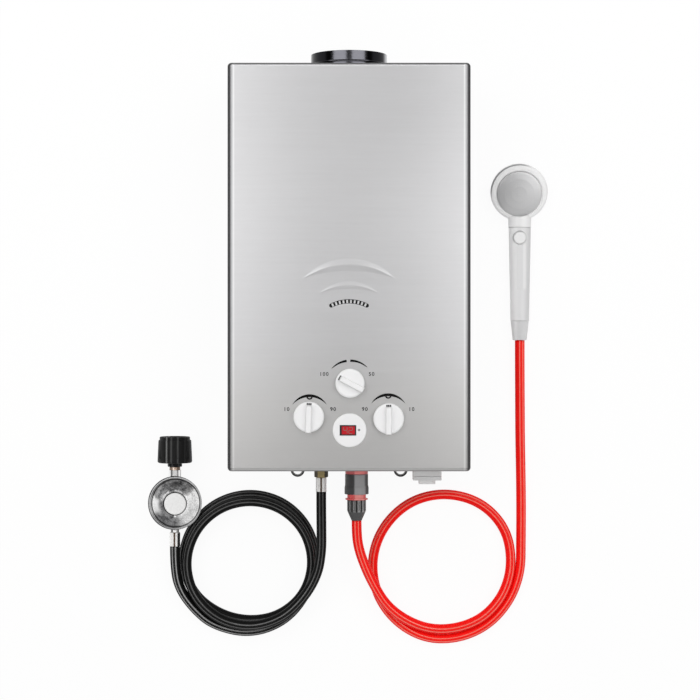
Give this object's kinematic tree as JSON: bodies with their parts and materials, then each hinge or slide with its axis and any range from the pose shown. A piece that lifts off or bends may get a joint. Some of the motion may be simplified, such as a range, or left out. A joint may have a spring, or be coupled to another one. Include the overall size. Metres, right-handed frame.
{
  "type": "portable propane water heater",
  "caption": "Box-shaped gas water heater lying on its back, with flue collar, control knobs, sight window, coiled gas hose with tank regulator, and shower hose with handset.",
  "frame": {"origin": "centre of the casing's flat rear face, which is the wall or floor plane z = 0", "axes": "+Z out of the front cover, +Y towards the flue collar, +X to the right seen from the front"},
  "size_m": [0.538, 0.7868, 0.1818],
  "materials": {
    "brushed_cover": "brushed stainless sheet",
    "plate_steel": "galvanised sheet",
    "polished_steel": "polished stainless",
    "white_plastic": "moulded, satin gloss",
    "handset_white": "moulded, satin gloss",
    "handset_face": "satin steel face",
    "cone_grey": "moulded",
    "case_grey": "moulded",
    "dark_plastic": "moulded",
    "coupler_grey": "moulded",
    "nut_black": "moulded, ribbed",
    "red_plastic": "moulded",
    "red_hose": "smooth PVC",
    "black_rubber": "smooth rubber",
    "brass": "machined",
    "plated_brass": "nickel plated",
    "copper": "drawn copper",
    "cast_alloy": "die cast",
    "regulator_alloy": "die cast, pressed",
    "cap_white": "moulded cap",
    "burner_steel": "stainless sheet",
    "glass": "dark heat-proof glass",
    "red_lens": "tinted acrylic",
    "board_green": "circuit board",
    "cell_jacket": "battery jacket",
    "ceramic": "glazed ceramic"
  },
  "bodies": {
    "heater": {"front_cover": "brushed_cover", "back_plate": "plate_steel", "casing_screws": "polished_steel", "sight_grille": "polished_steel", "sight_glass": "glass", "flue_collar": "polished_steel", "flue_hood": "plate_steel", "display_bezel": "white_plastic", "display_lens": "red_lens", "display_board": "board_green", "gas_valve_body": "cast_alloy", "gas_solenoid": "dark_plastic", "gas_inlet_stub": "brass", "burner_manifold": "cast_alloy", "burner_rack": "plate_steel", "burner_blades": "burner_steel", "electrodes": "ceramic", "spark_module": "dark_plastic", "water_valve_body": "cast_alloy", "diaphragm_cover": "cast_alloy", "diaphragm": "black_rubber", "micro_switch": "dark_plastic", "cold_inlet": "brass", "hot_outlet": "brass", "cold_feed_pipe": "copper", "hot_pipe": "copper", "fin_block": "copper", "exchanger_tubes": "copper", "combustion_jacket": "copper", "overheat_switch": "dark_plastic", "chassis_brackets": "plate_steel", "battery_case": "case_grey", "battery_cells": "cell_jacket", "tap_adaptor": "red_plastic", "coupler_core": "red_plastic", "gas_hose": "black_rubber", "gas_hose_ferrules": "plated_brass", "regulator_body": "regulator_alloy", "regulator_cover": "regulator_alloy", "regulator_cap": "cap_white", "qcc_nipple": "brass", "shower_hose": "red_hose", "shower_handle": "handset_white", "shower_head": "handset_white", "shower_faceplate": "handset_face"},
    "gas_control": {"gas_knob": "white_plastic", "gas_spindle": "brass"},
    "water_control": {"water_knob": "white_plastic", "water_spindle": "brass"},
    "season_control": {"season_knob": "white_plastic", "season_spindle": "brass"},
    "water_pushrod": {"diaphragm_pushrod": "burner_steel"},
    "battery_door": {"battery_lid": "case_grey"},
    "drain": {"drain_plug": "case_grey"},
    "coupler_collar": {"coupler_sleeve": "coupler_grey"},
    "hose_end_nut": {"hose_nut": "dark_plastic"},
    "gas_union_nut": {"gas_hose_nut": "brass"},
    "tank_nut": {"qcc_nut": "nut_black"},
    "handset_nut": {"shower_cone_nut": "cone_grey"},
    "spray_button": {"shower_button": "handset_white"}
  },
  "joints": [
    {"name": "gas_knob_turn", "type": "hinge", "parent": "heater", "child": "gas_control", "pos_m": [-0.0512, -0.1909, 0.165], "axis": [0, 0, 1], "range_deg": [-75, 75]},
    {"name": "water_knob_turn", "type": "hinge", "parent": "heater", "child": "water_control", "pos_m": [0.0503, -0.1931, 0.165], "axis": [0, 0, 1], "range_deg": [-75, 75]},
    {"name": "season_knob_turn", "type": "hinge", "parent": "heater", "child": "season_control", "pos_m": [0.0012, -0.1481, 0.165], "axis": [0, 0, 1], "range_deg": [-125, 0]},
    {"name": "pushrod_slide", "type": "slide", "parent": "heater", "child": "water_pushrod", "axis": [-1, 0, 0], "range_m": [0, 0.003], "stiffness_N_per_m": 500},
    {"name": "battery_lid_hinge", "type": "hinge", "parent": "heater", "child": "battery_door", "pos_m": [0.1038, -0.2742, 0.02645], "axis": [1, 0, 0], "range_deg": [0, 90]},
    {"name": "drain_plug_turn", "type": "hinge", "parent": "heater", "child": "drain", "pos_m": [0.068, -0.25, 0.054], "axis": [0, -1, 0], "continuous": true},
    {"name": "coupler_sleeve_slide", "type": "slide", "parent": "heater", "child": "coupler_collar", "axis": [0, -1, 0], "range_m": [0, 0.0045], "stiffness_N_per_m": 400},
    {"name": "hose_nut_turn", "type": "hinge", "parent": "heater", "child": "hose_end_nut", "pos_m": [0.01, -0.315, 0.048], "axis": [0, -1, 0], "continuous": true},
    {"name": "gas_nut_turn", "type": "hinge", "parent": "heater", "child": "gas_union_nut", "pos_m": [-0.0372, -0.268, 0.048], "axis": [0, -1, 0], "continuous": true},
    {"name": "tank_nut_turn", "type": "hinge", "parent": "heater", "child": "tank_nut", "pos_m": [-0.2348, -0.24, 0.0235], "axis": [0, 1, 0], "continuous": true},
    {"name": "handset_nut_turn", "type": "hinge", "parent": "heater", "child": "handset_nut", "pos_m": [0.2309, -0.08, 0.0125], "axis": [0, -1, 0], "continuous": true},
    {"name": "spray_button_press", "type": "slide", "parent": "heater", "child": "spray_button", "axis": [0, 0, -1], "range_m": [0, 0.0025], "stiffness_N_per_m": 800}
  ]
}
